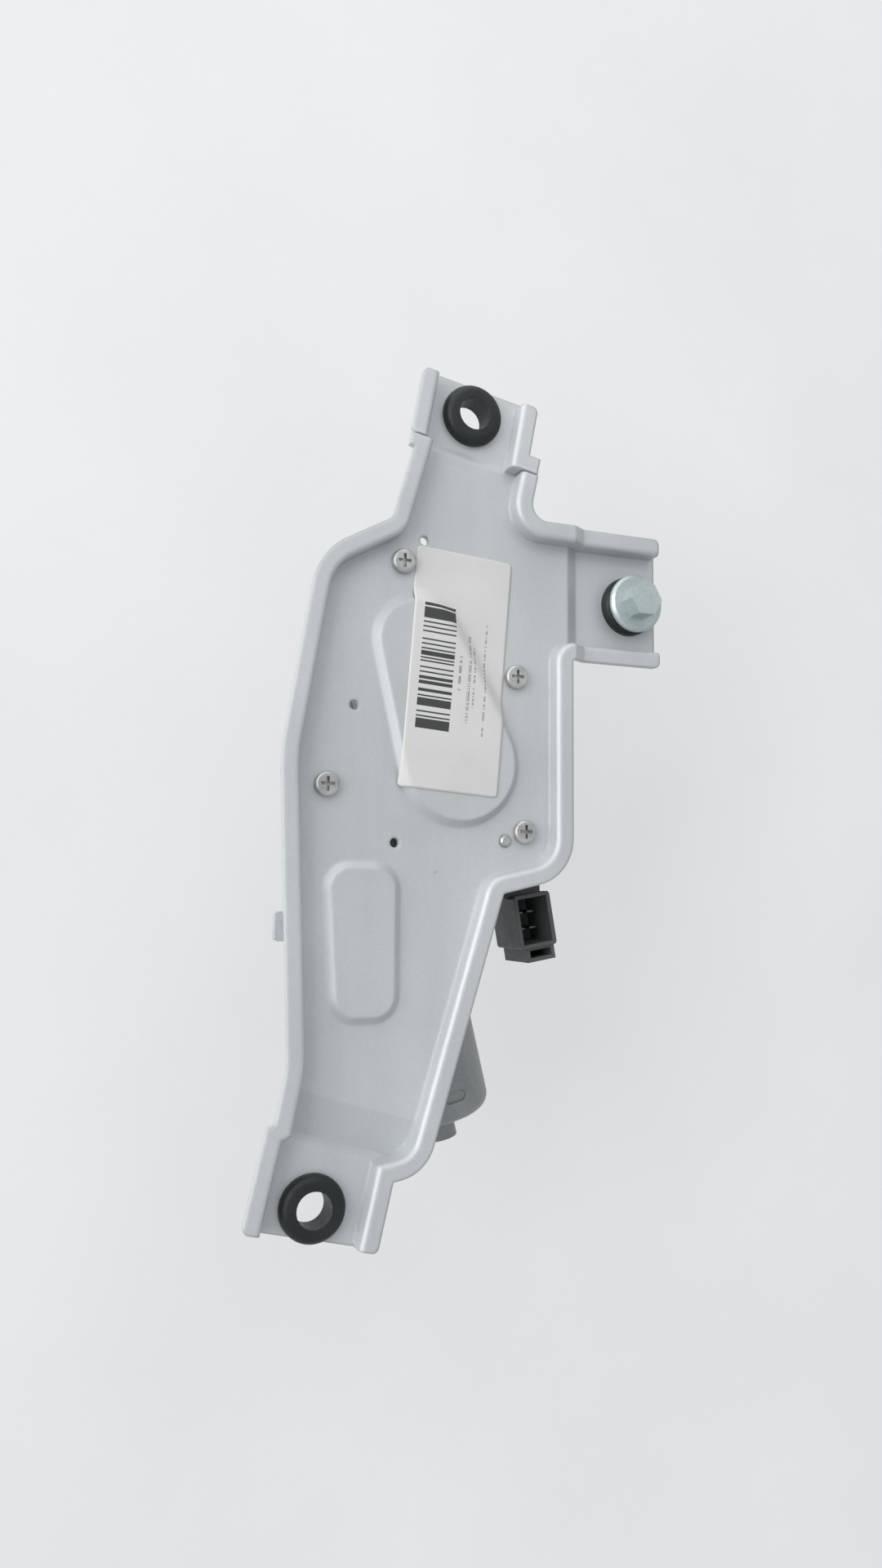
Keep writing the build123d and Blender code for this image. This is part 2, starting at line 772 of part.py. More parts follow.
def tooth_face(depth, slant):
    """One tooth's outline at a depth, turned about the wheel by the slant, half a pitch off the mesh."""
    a = worm_turn + 180 + 180 / wheel_teeth + slant
    with BuildSketch(Plane(origin=(wheel_x, wheel_y, plate_height - depth), x_dir=(cos(radians(a)), sin(radians(a)), 0))) as face:
        root_half = tooth_half + (wheel_pitch_r - root_r) * flank
        tip_half = tooth_half - (tip_r - wheel_pitch_r) * flank
        Polygon((root_r - 0.4, -root_half), (tip_r, -tip_half), (tip_r, tip_half), (root_r - 0.4, root_half), align=None)
    return face.sketch


with BuildPart() as tooth:
    add(tooth_face(wheel_bottom, -tooth_slant))
    add(tooth_face(wheel_top, tooth_slant))
    loft(ruled=True)

with BuildPart() as worm_wheel:
    add(disc(wheel_axis, root_r, wheel_bottom, wheel_top))
    with Locations((wheel_x, wheel_y, 0)):
        with PolarLocations(0, wheel_teeth):
            add(tooth.part.moved(Location((-wheel_x, -wheel_y, 0))))
    add(disc(wheel_axis, hub_r, wheel_bottom, hub_top))
    with BuildSketch(level(wheel_bottom)):
        with Locations(wheel_axis):
            Circle(root_r - 3.0)
            Circle(hub_r + 1.5, mode=Mode.SUBTRACT)
    extrude(amount=4.5, mode=Mode.SUBTRACT)
    add(disc(wheel_axis, axle_r + fit_gap, wheel_bottom + 1, hub_top - 1), mode=Mode.SUBTRACT)
    add(disc(crank_place, link_pin_r, hub_top + 0.01, hub_top - 1), mode=Mode.SUBTRACT)
save(worm_wheel, "worm_wheel")

with BuildPart() as contact_ring:
    with BuildSketch(level(wheel_top)):
        with Locations(wheel_axis):
            Circle(ring_high_r)
            Circle(ring_low_r, mode=Mode.SUBTRACT)
        with Locations((wheel_x + 17.5, wheel_y)):
            Rectangle(5, 9, mode=Mode.SUBTRACT)
    extrude(amount=0.5)
save(contact_ring, "contact_ring")


# ---- contact plate and its fingers ----
contact_depth = 14.0
contact_turns = (-90.0, -70.0, -50.0)
finger_tip_r = 15.2

with BuildPart() as contact_plate:
    with BuildSketch(level(contact_depth)):
        with Locations(wheel_axis):
            Circle(wheel_pot_r)
            Circle(18.5, mode=Mode.SUBTRACT)
        wedge = [wheel_axis] + [turned(wheel_axis, -70.0 + b, 60, 0) for b in (-36, -12, 12, 36)]
        Polygon(*wedge, align=None, mode=Mode.INTERSECT)
    extrude(amount=3.0)
    with BuildSketch(level(contact_depth)):
        with Locations(wheel_axis):
            Circle(18.5)
    extrude(amount=3.0, mode=Mode.SUBTRACT)
save(contact_plate, "contact_plate")

with BuildPart() as contact_fingers:
    for angle in contact_turns:
        a = radians(angle)
        side = Plane(
            origin=(wheel_x, wheel_y, plate_height),
            x_dir=(cos(a), sin(a), 0),
            z_dir=(sin(a), -cos(a), 0),
        )
        with BuildSketch(side):
            Polygon(
                (22.0, -contact_depth),
                (22.0, -contact_depth - 0.4),
                (18.4, -contact_depth - 0.4),
                (finger_tip_r + 0.3, -wheel_top + 0.55),
                (finger_tip_r - 0.8, -wheel_top + 0.55),
                (finger_tip_r - 1.6, -wheel_top + 1.35),
                (finger_tip_r - 1.2, -wheel_top + 1.6),
                (finger_tip_r - 0.4, -wheel_top + 0.95),
                (finger_tip_r + 0.1, -wheel_top + 0.95),
                (18.2, -contact_depth),
                align=None,
            )
        extrude(amount=1.2, both=True)
save(contact_fingers, "contact_fingers")


# ---- armature ----
armature_r = 3.0
worm_tip_r = worm_pitch_r + 0.75
worm_half_length = 4 * lead
shaft_front = tunnel_start + 3.0
can_wall_end = can_end
can_boss_end = can_end + 7.0
shaft_rear = can_boss_end - 2.0
core_start, core_end, core_r = 60.0, 97.0, 13.0
commutator_start, commutator_end, commutator_r = 45.0, 55.0, 8.0
slot_count = 8

start_plane = worm_plane(-worm_half_length)
thread_root = 1.25
with BuildPart() as worm_thread:
    with BuildLine():
        path = Helix(pitch=lead, height=2 * worm_half_length, radius=worm_pitch_r)
    with BuildSketch(Plane(origin=path @ 0, x_dir=(1, 0, 0), z_dir=path % 0)):
        thread_tip = worm_tip_r - worm_pitch_r
        Polygon(
            (-thread_root, -tooth_half - thread_root * flank),
            (thread_tip, -tooth_half + thread_tip * flank),
            (thread_tip, tooth_half - thread_tip * flank),
            (-thread_root, tooth_half + thread_root * flank),
            align=None,
        )
    sweep(path=path, is_frenet=True)

with BuildPart() as armature_shaft:
    add(drum(armature_r, shaft_front, shaft_rear))
    add(worm_thread.part.moved(start_plane.location))
save(armature_shaft, "armature_shaft")

with BuildPart() as armature_core:
    with BuildSketch(worm_plane(core_start)):
        Circle(core_r)
        Circle(armature_r, mode=Mode.SUBTRACT)
        with PolarLocations(9.2, slot_count):
            Circle(2.3, mode=Mode.SUBTRACT)
        with PolarLocations(11.8, slot_count):
            Rectangle(4, 1.4, mode=Mode.SUBTRACT)
    extrude(amount=core_end - core_start)
save(armature_core, "armature_core")

with BuildPart() as armature_windings:
    for start, end in ((core_start - 4.0, core_start), (core_end, core_end + 4.0)):
        with BuildSketch(worm_plane(start)):
            Circle(11.6)
            Circle(armature_r + 3.4, mode=Mode.SUBTRACT)
        extrude(amount=end - start)
    with BuildSketch(worm_plane(core_start - 0.5)):
        with PolarLocations(9.2, slot_count):
            Circle(2.2)
    extrude(amount=core_end - core_start + 1.0)
save(armature_windings, "armature_windings")

with BuildPart() as commutator:
    with BuildSketch(worm_plane(commutator_start)):
        Circle(commutator_r)
        Circle(armature_r, mode=Mode.SUBTRACT)
    extrude(amount=commutator_end - commutator_start)
    with BuildSketch(worm_plane(commutator_end)):
        Circle(commutator_r + 1.0)
        Circle(armature_r, mode=Mode.SUBTRACT)
    extrude(amount=1.0)
save(commutator, "commutator")


# ---- bearings ----
def bearing(outer_r, start, end, name):
    """A plain bush around the armature's shaft."""
    with BuildPart() as bush:
        with BuildSketch(worm_plane(start)):
            Circle(outer_r)
            Circle(armature_r + fit_gap, mode=Mode.SUBTRACT)
        extrude(amount=end - start)
    save(bush, name)


bearing(tunnel_r, tunnel_start + 4.5, tunnel_start + 9.5, "front_bearing")
bearing(tunnel_r, 20.0, 28.0, "middle_bearing")
bearing(4.4, can_end - 0.5, can_end + 4.5, "rear_bearing")

with BuildPart() as thrust_ball:
    with Locations(worm_plane(tunnel_start + 1.5).location):
        Sphere(1.5)
save(thrust_ball, "thrust_ball")


# ---- motor can, magnets, screws ----
can_open = flange_end + brush_plate
can_flange = 1.6
can_floor = can_end - can_wall

with BuildPart() as motor_can:
    add(drum(can_r, can_open, can_end))
    rear_edge = motor_can.edges().filter_by(GeomType.CIRCLE).sort_by(Axis((worm_x, worm_y, 0), (along[0], along[1], 0)))[-1]
    fillet(rear_edge, 5.0)
    add(drum(5.6, can_end - 1.0, can_boss_end))
    add(ear_solid(can_r, ear_r - 0.2, can_open, can_open + can_flange))
    with BuildPart(mode=Mode.PRIVATE) as can_space:
        add(drum(can_r - can_wall, can_open - 1, can_floor))
        inner_edge = can_space.edges().filter_by(GeomType.CIRCLE).sort_by(
            Axis((worm_x, worm_y, 0), (along[0], along[1], 0)))[-1]
        fillet(inner_edge, 3.4)
    add(can_space.part, mode=Mode.SUBTRACT)
    add(drum(4.4, can_floor - 1, can_boss_end - 1.4), mode=Mode.SUBTRACT)
    add(ear_pins(ear_screw_r + 0.1, can_open - 1, can_open + can_flange + 1), mode=Mode.SUBTRACT)
    # shallow dent in the wall's upper side
    dent = worm_plane(can_end - 8.5)
    dent_origin = dent.origin + Vector(across[0] * 1.6, across[1] * 1.6, can_r - 1.1)
    with BuildSketch(Plane(origin=dent_origin, x_dir=dent.x_dir, z_dir=(0, 0, 1))):
        SlotOverall(7.6, 3.6)
    extrude(amount=25, mode=Mode.SUBTRACT)
save(motor_can, "motor_can")

magnet_r = core_r + 0.6
with BuildPart() as magnets:
    with BuildSketch(worm_plane(core_start - 2)):
        Circle(can_r - can_wall)
        Circle(magnet_r, mode=Mode.SUBTRACT)
        for side in (60, 240):
            a, b = radians(side), radians(side + 60)
            Polygon((0, 0), (60 * cos(a), 60 * sin(a)), (60 * cos(b), 60 * sin(b)), align=None, mode=Mode.SUBTRACT)
    extrude(amount=core_end - core_start + 4)
save(magnets, "magnets")

with BuildPart() as can_screws:
    add(ear_pins(ear_screw_r, flange_start - 4.5, can_open + can_flange))
    add(ear_pins(2.7, can_open + can_flange, can_open + can_flange + 2.2))
    add(ear_pins(0.9, can_open + can_flange + 1.0, can_open + can_flange + 3), mode=Mode.SUBTRACT)
save(can_screws, "can_screws")


# ---- brush holder, brushes, springs ----
box_start, box_end = 45.6, 52.6
box_inner = 2.5
box_outer = 3.6
brush_length = 4.6
box_reach = 15.2
can_inner = can_r - can_wall
ear_low, ear_high = 5.5, 13.5
neck_start = 24.0

with BuildPart() as brush_holder:
    add(ear_solid(can_r, ear_r, flange_end, can_open))
    with BuildSketch(worm_plane(flange_end)):
        with Locations(((neck_start + 10) / 2, (ear_low + ear_high) / 2)):
            Rectangle(neck_start - 10, ear_high - ear_low)
    extrude(amount=brush_plate)
    with BuildSketch(worm_plane(can_open)):
        for side in (-1, 1):
            with Locations((0, side * (commutator_r + 0.6 + box_reach) / 2)):
                Rectangle(2 * box_outer, box_reach - commutator_r - 0.6)
    extrude(amount=box_end + 1.0 - can_open)
    with BuildSketch(worm_plane(box_start)):
        for side in (-1, 1):
            with Locations((0, side * (commutator_r + box_reach - 1.2) / 2)):
                Rectangle(2 * box_inner, box_reach - 1.2 - commutator_r)
    extrude(amount=box_end - box_start, mode=Mode.SUBTRACT)
    add(drum(armature_r + 1.0, flange_end - 1, can_open + 1), mode=Mode.SUBTRACT)
    add(ear_pins(ear_screw_r + 0.1, flange_end - 1, can_open + 1), mode=Mode.SUBTRACT)
save(brush_holder, "brush_holder")

with BuildPart() as brushes:
    with BuildSketch(worm_plane(box_start + fit_gap)):
        for side in (-1, 1):
            with Locations((0, side * (commutator_r - 1 + commutator_r + brush_length) / 2)):
                Rectangle(2 * (box_inner - fit_gap), brush_length + 1)
    extrude(amount=box_end - box_start - 2 * fit_gap)
    add(drum(commutator_r + fit_gap, box_start - 1, box_end + 1), mode=Mode.SUBTRACT)
save(brushes, "brushes")

with BuildPart() as brush_springs:
    middle = (box_start + box_end) / 2
    spring_start = commutator_r + brush_length
    spring_length = box_reach - 1.2 - spring_start
    frame = worm_plane(middle)
    for side in (-1, 1):
        outward = frame.y_dir * side
        base = Plane(origin=frame.origin + outward * spring_start, x_dir=frame.x_dir, z_dir=outward)
        for turn_number in range(3):
            with BuildSketch(base.offset(spring_length * turn_number / 3)):
                Circle(1.7)
                Circle(1.2, mode=Mode.SUBTRACT)
            extrude(amount=spring_length / 3 - 0.12)
        with BuildSketch(base):
            with Locations((1.45, 0), (-1.45, 0)):
                Rectangle(0.4, 0.4)
        extrude(amount=spring_length)
save(brush_springs, "brush_springs")


# ---- connector ----
plug_centre = (43.6, -87.4)
plug_turn = 10.0
plug_width, plug_height = 13.0, 17.5
plug_top = 4.0
plug_depth = 18.5
plug_wall = 1.3
plug_floor = 2.0
blade_width, blade_thick = 2.3, 0.6
blade_low = 5.8
blade_pitch_x, blade_pitch_y = 4.0, 5.3
pt = radians(plug_turn)


def plug_level(depth):
    """A plane turned with the connector, this far below the floor's upper face."""
    return Plane(origin=(plug_centre[0], plug_centre[1], plate_height - depth), x_dir=(cos(pt), sin(pt), 0), z_dir=(0, 0, 1))


blades = [(-0.6 + x * blade_pitch_x / 2, y * blade_pitch_y / 2) for x in (-1, 1) for y in (-1, 1)]
ear_plan = [
    (worm_x + across[0] * n + along[0] * s, worm_y + across[1] * n + along[1] * s)
    for n, s in ((neck_start, flange_end - 2), (neck_start, can_open + 3))
]
neck_low, neck_high = -79.0, -67.6
neck_bottom = worm_depth - ear_low
neck_top = worm_depth - ear_high

with BuildPart() as connector_housing:
    with BuildSketch(plug_level(plug_top + plug_depth)) as outer:
        Rectangle(plug_width, plug_height)
        fillet(outer.vertices(), 1.2)
    extrude(amount=plug_depth)
    # key box beside the lower wall
    with BuildSketch(plug_level(plug_top + plug_depth)):
        with Locations((0.6, -plug_height / 2 - 2.0)):
            Rectangle(10.0, 5.0)
    extrude(amount=plug_depth - 0.8)
    # neck to the brush holder
    with BuildSketch(level(neck_bottom)):
        Polygon(
            ear_plan[1],
            (30.0, neck_low),
            turned(plug_centre, plug_turn, -plug_width / 2, plug_height / 2 - 1),
            turned(plug_centre, plug_turn, plug_width / 2 - 1.5, plug_height / 2 - 1),
            (47.0, neck_high),
            (30.0, neck_high),
            ear_plan[0],
            align=None,
        )
    extrude(amount=neck_bottom - neck_top)
    with BuildSketch(plug_level(plug_top + plug_depth - plug_floor)):
        Rectangle(plug_width - 2 * plug_wall, plug_height - 2 * plug_wall)
    extrude(amount=plug_depth, mode=Mode.SUBTRACT)
    with BuildSketch(plug_level(plug_top + plug_depth - plug_floor)):
        with Locations((0.6, -plug_height / 2 - 2.0)):
            Rectangle(7.6, 2.4)
    extrude(amount=plug_depth, mode=Mode.SUBTRACT)
    with BuildSketch(plug_level(plug_top + plug_depth + 1)):
        with Locations(*blades):
            Rectangle(blade_width, blade_thick)
    extrude(amount=plug_floor + 2, mode=Mode.SUBTRACT)
save(connector_housing, "connector_housing")

with BuildPart() as connector_terminals:
    with BuildSketch(plug_level(plug_top + plug_depth + 2)):
        with Locations(*blades):
            Rectangle(blade_width, blade_thick)
    extrude(amount=plug_depth + 2 - blade_low)
save(connector_terminals, "connector_terminals")


# ---- label and side clip ----
label_corner = (-0.1, 31.0)
label_turn = -4.5
label_width, label_length = 33.2, 77.4
label_thick = 0.25

with BuildPart() as label:
    with BuildSketch(level(0)):
        Rectangle(200, 200)
    extrude(amount=label_thick)
    add(dome_solid(label_thick, 0, dome_rise + label_thick))
    a = radians(label_turn)
    with BuildSketch(Plane(origin=(label_corner[0], label_corner[1], plate_height - 5),
                           x_dir=(cos(a), sin(a), 0), z_dir=(0, 0, 1))):
        with Locations((label_width / 2, -label_length / 2)):
            RectangleRounded(label_width, label_length, 1.5)
    extrude(amount=20, mode=Mode.INTERSECT)
    add(dome_solid(0, 0, dome_rise), mode=Mode.SUBTRACT)
save(label, "label")

with BuildPart() as side_clip:
    with BuildSketch(level(sheet + 3.0)):
        with Locations((-38.6, -89.1)):
            Rectangle(9.0, 8.8)
    extrude(amount=3.0)
    chamfer(side_clip.edges().filter_by(Axis.Z), 0.8)
save(side_clip, "side_clip")
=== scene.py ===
"""Finishes, label, threads, webs and studio for the wiper motor's frame."""
import math

import bmesh
import bpy
from mathutils import Matrix, Vector


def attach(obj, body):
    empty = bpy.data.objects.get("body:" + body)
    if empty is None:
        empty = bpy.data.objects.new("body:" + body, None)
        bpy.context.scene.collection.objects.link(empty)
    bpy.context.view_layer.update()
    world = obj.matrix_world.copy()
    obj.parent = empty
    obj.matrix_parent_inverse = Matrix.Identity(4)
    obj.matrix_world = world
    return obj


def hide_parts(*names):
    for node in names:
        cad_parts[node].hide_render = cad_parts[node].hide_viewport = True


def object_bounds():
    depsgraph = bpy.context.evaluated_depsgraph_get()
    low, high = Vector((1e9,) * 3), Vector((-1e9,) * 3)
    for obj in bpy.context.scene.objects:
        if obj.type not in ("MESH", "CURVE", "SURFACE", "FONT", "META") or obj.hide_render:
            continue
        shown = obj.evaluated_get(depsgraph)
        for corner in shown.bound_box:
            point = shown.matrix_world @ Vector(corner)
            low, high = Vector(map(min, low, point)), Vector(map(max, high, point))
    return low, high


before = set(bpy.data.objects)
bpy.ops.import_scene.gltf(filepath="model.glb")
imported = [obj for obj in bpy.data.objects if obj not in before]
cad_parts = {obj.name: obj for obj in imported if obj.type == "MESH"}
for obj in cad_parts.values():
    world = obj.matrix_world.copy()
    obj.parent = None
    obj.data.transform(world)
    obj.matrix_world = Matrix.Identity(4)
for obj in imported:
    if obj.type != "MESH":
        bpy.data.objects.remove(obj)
cad_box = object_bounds()

# Heights and places that the pieces share, in metres.
MM = 0.001
PLATE_TOP = 0.073  # upper face of the bracket's floor
SIDE_BOLT = (0.0779, 0.0191)  # axis of the bolt in the side grommet
SIDE_BOLT_TIP = 0.0459  # height where the bolt's thread starts
OUTPUT_TIP = -0.0162  # height where the output shaft's thread starts

# The label and the dome under it, in millimetres from the output shaft's axis.
LABEL_CORNER = (-0.1, 31.0)
LABEL_TURN = math.radians(-4.5)
LABEL_WIDTH, LABEL_LENGTH = 33.2, 77.4
LABEL_ROUND = 1.5
WHEEL_AXLE = (14.8, -37.8)
DOME_AT_WHEEL, DOME_AT_SHAFT = 20.5, 14.7  # radius of the dome's foot at its two ends


# ---------------------------------------------------------------- camera

camera_data = bpy.data.cameras.new("camera")
camera_data.sensor_fit = "VERTICAL"
camera_data.sensor_height = 36.0
focal_pixels, frame_pixels = 1450.0, 1920.0
camera_data.lens = focal_pixels / frame_pixels * camera_data.sensor_height
camera_data.clip_start = 0.01
camera = bpy.data.objects.new("camera", camera_data)
bpy.context.collection.objects.link(camera)
right = Vector((0.92895, 0.00831, 0.37011))
up = Vector((-0.04198, 0.99566, 0.08302))
back = Vector((-0.36781, -0.09266, 0.92527))
place = Matrix((right, up, back)).transposed().to_4x4()
place.translation = Vector((-0.12800, -0.07924, 0.34387 + PLATE_TOP))
camera.matrix_world = place
bpy.context.scene.camera = camera

bpy.context.scene.view_settings.view_transform = "Standard"


# ---------------------------------------------------------------- finishes

def new_material(name):
    """An empty node material with its output, shader and object coordinates."""
    material = bpy.data.materials.new(name)
    material.use_nodes = True
    nodes, links = material.node_tree.nodes, material.node_tree.links
    nodes.clear()
    output = nodes.new("ShaderNodeOutputMaterial")
    shader = nodes.new("ShaderNodeBsdfPrincipled")
    links.new(shader.outputs["BSDF"], output.inputs["Surface"])
    coords = nodes.new("ShaderNodeTexCoord")
    return material, nodes, links, shader, coords


def noise(nodes, links, coords, scale, detail=4.0, rough=0.55, stretch=None):
    """A noise pattern on object coordinates, which stretch scales along each axis."""
    source = coords.outputs["Object"]
    if stretch:
        mapping = nodes.new("ShaderNodeMapping")
        mapping.inputs["Scale"].default_value = stretch
        links.new(source, mapping.inputs["Vector"])
        source = mapping.outputs["Vector"]
    pattern = nodes.new("ShaderNodeTexNoise")
    pattern.inputs["Scale"].default_value = scale
    pattern.inputs["Detail"].default_value = detail
    pattern.inputs["Roughness"].default_value = rough
    links.new(source, pattern.inputs["Vector"])
    return pattern.outputs["Fac"]


def ramp(nodes, links, source, stops):
    """A colour ramp from (position, colour) stops."""
    node = nodes.new("ShaderNodeValToRGB")
    elements = node.color_ramp.elements
    while len(elements) < len(stops):
        elements.new(0.5)
    for element, (position, colour) in zip(elements, stops):
        element.position = position
        element.color = (*colour, 1.0) if len(colour) == 3 else colour
    links.new(source, node.inputs["Fac"])
    return node.outputs["Color"]


def grey(value):
    return (value, value, value)


def mix_colours(nodes, links, factor, first, second, blend="MIX"):
    """Mixes two colours; each is a socket or an RGB triple, and so is the factor or a number."""
    node = nodes.new("ShaderNodeMix")
    node.data_type = "RGBA"
    node.blend_type = blend
    inputs = [s for s in node.inputs if s.enabled]
    for socket, value in zip(inputs, (factor, first, second)):
        if isinstance(value, bpy.types.NodeSocket):
            links.new(value, socket)
        elif isinstance(value, (int, float)):
            socket.default_value = value
        else:
            socket.default_value = (*value, 1.0)
    return [s for s in node.outputs if s.enabled][0]


def bump(nodes, links, shader, height, strength, distance, edge=0.0):
    """Puts a bump from a height pattern on the shader's normal, over edges softened by a radius."""
    node = nodes.new("ShaderNodeBump")
    node.inputs["Strength"].default_value = strength
    node.inputs["Distance"].default_value = distance
    links.new(height, node.inputs["Height"])
    if edge:
        soft = nodes.new("ShaderNodeBevel")
        soft.samples = 4
        soft.inputs["Radius"].default_value = edge
        links.new(soft.outputs["Normal"], node.inputs["Normal"])
    links.new(node.outputs["Normal"], shader.inputs["Normal"])


def metal(name, dark, light, roughness, metallic=1.0, grain=900.0, blotch=40.0, dent=0.02 * MM, edge=0.2 * MM):
    """A metal finish that drifts between two colours in soft blotches, with a fine grain."""
    material, nodes, links, shader, coords = new_material(name)
    broad = noise(nodes, links, coords, blotch, 3.0)
    fine = noise(nodes, links, coords, grain, 2.0)
    base = ramp(nodes, links, broad, [(0.35, dark), (0.68, light)])
    speck = ramp(nodes, links, fine, [(0.3, grey(0.88)), (0.7, grey(1.0))])
    colour = mix_colours(nodes, links, 1.0, base, speck, "MULTIPLY")
    links.new(colour, shader.inputs["Base Color"])
    shader.inputs["Metallic"].default_value = metallic
    gloss = ramp(nodes, links, broad, [(0.3, grey(roughness - 0.06)), (0.75, grey(roughness + 0.08))])
    links.new(gloss, shader.inputs["Roughness"])
    bump(nodes, links, shader, fine, 0.25, dent, edge)
    return material


def moulding(name, colour, roughness, grain=700.0, depth=0.03 * MM, edge=0.3 * MM, shine=0.3):
    """A moulded rubber or plastic finish with a fine skin and a little dust."""
    material, nodes, links, shader, coords = new_material(name)
    fine = noise(nodes, links, coords, grain, 3.0)
    broad = noise(nodes, links, coords, 60.0, 4.0)
    dusty = tuple(min(1.0, c * 1.5 + 0.012) for c in colour)
    base = ramp(nodes, links, broad, [(0.40, colour), (0.78, dusty)])
    links.new(base, shader.inputs["Base Color"])
    gloss = ramp(nodes, links, fine, [(0.3, grey(roughness - 0.08)), (0.7, grey(roughness + 0.08))])
    links.new(gloss, shader.inputs["Roughness"])
    shader.inputs["Specular IOR Level"].default_value = shine
    bump(nodes, links, shader, fine, 0.3, depth, edge)
    return material


def zinc_sheet_finish():
    """Pressed sheet with dull zinc plating: cloudy drift, fine spangle, faint rubs along it and small stains."""
    material, nodes, links, shader, coords = new_material("zinc_sheet")
    cloud = noise(nodes, links, coords, 16.0, 3.0)
    spangle = noise(nodes, links, coords, 1500.0, 2.0)
    rub = noise(nodes, links, coords, 90.0, 5.0, 0.6, (1.0, 0.07, 1.0))
    stain = noise(nodes, links, coords, 230.0, 6.0, 0.7)
    base = ramp(nodes, links, cloud, [(0.36, (0.525, 0.550, 0.560)), (0.66, (0.580, 0.604, 0.612))])
    speck = ramp(nodes, links, spangle, [(0.3, grey(0.94)), (0.7, grey(1.0))])
    marks = ramp(nodes, links, rub, [(0.42, grey(0.965)), (0.62, grey(1.0))])
    spots = ramp(nodes, links, stain, [(0.24, (0.78, 0.79, 0.78)), (0.33, grey(1.0))])
    colour = mix_colours(nodes, links, 1.0, base, speck, "MULTIPLY")
    colour = mix_colours(nodes, links, 1.0, colour, marks, "MULTIPLY")
    colour = mix_colours(nodes, links, 1.0, colour, spots, "MULTIPLY")
    links.new(colour, shader.inputs["Base Color"])
    shader.inputs["Metallic"].default_value = 0.28
    gloss = ramp(nodes, links, rub, [(0.3, grey(0.40)), (0.75, grey(0.50))])
    links.new(gloss, shader.inputs["Roughness"])
    bump(nodes, links, shader, spangle, 0.18, 0.01 * MM, 1.4 * MM)
    return material


zinc_sheet = zinc_sheet_finish()
zinc_bolt = metal("zinc_bolt", (0.40, 0.465, 0.46), (0.51, 0.57, 0.565), 0.36, metallic=0.5)
zinc_screw = metal("zinc_screw", (0.36, 0.365, 0.355), (0.56, 0.565, 0.55), 0.36, metallic=0.7, blotch=150.0)
die_cast = metal("die_cast", (0.34, 0.35, 0.36), (0.46, 0.47, 0.48), 0.5, metallic=0.7,
                 grain=500.0, blotch=60.0, dent=0.08 * MM, edge=0.6 * MM)
can_steel = metal("can_steel", (0.23, 0.242, 0.246), (0.31, 0.322, 0.326), 0.42, metallic=0.55)
turned_steel = metal("turned_steel", (0.45, 0.45, 0.45), (0.60, 0.60, 0.60), 0.28)
bronze = metal("bronze", (0.36, 0.24, 0.11), (0.50, 0.35, 0.17), 0.5)
copper = metal("copper", (0.45, 0.16, 0.06), (0.62, 0.26, 0.11), 0.3)
spring_brass = metal("spring_brass", (0.55, 0.40, 0.16), (0.70, 0.54, 0.24), 0.3)
tinned_blade = metal("tinned_blade", (0.10, 0.10, 0.095), (0.16, 0.155, 0.145), 0.42)
ferrite = moulding("ferrite", (0.03, 0.03, 0.03), 0.6)
grommet_rubber = moulding("grommet_rubber", (0.0115, 0.0145, 0.0160), 0.46)
gasket_rubber = moulding("gasket_rubber", (0.02, 0.02, 0.02), 0.6)
plug_plastic = moulding("plug_plastic", (0.066, 0.070, 0.072), 0.46, edge=0.6 * MM, shine=0.5)
gear_plastic = moulding("gear_plastic", (0.70, 0.68, 0.60), 0.4)
clip_plastic = moulding("clip_plastic", (0.50, 0.52, 0.53), 0.3)
clip_plastic.node_tree.nodes["Principled BSDF"].inputs["Transmission Weight"].default_value = 0.35


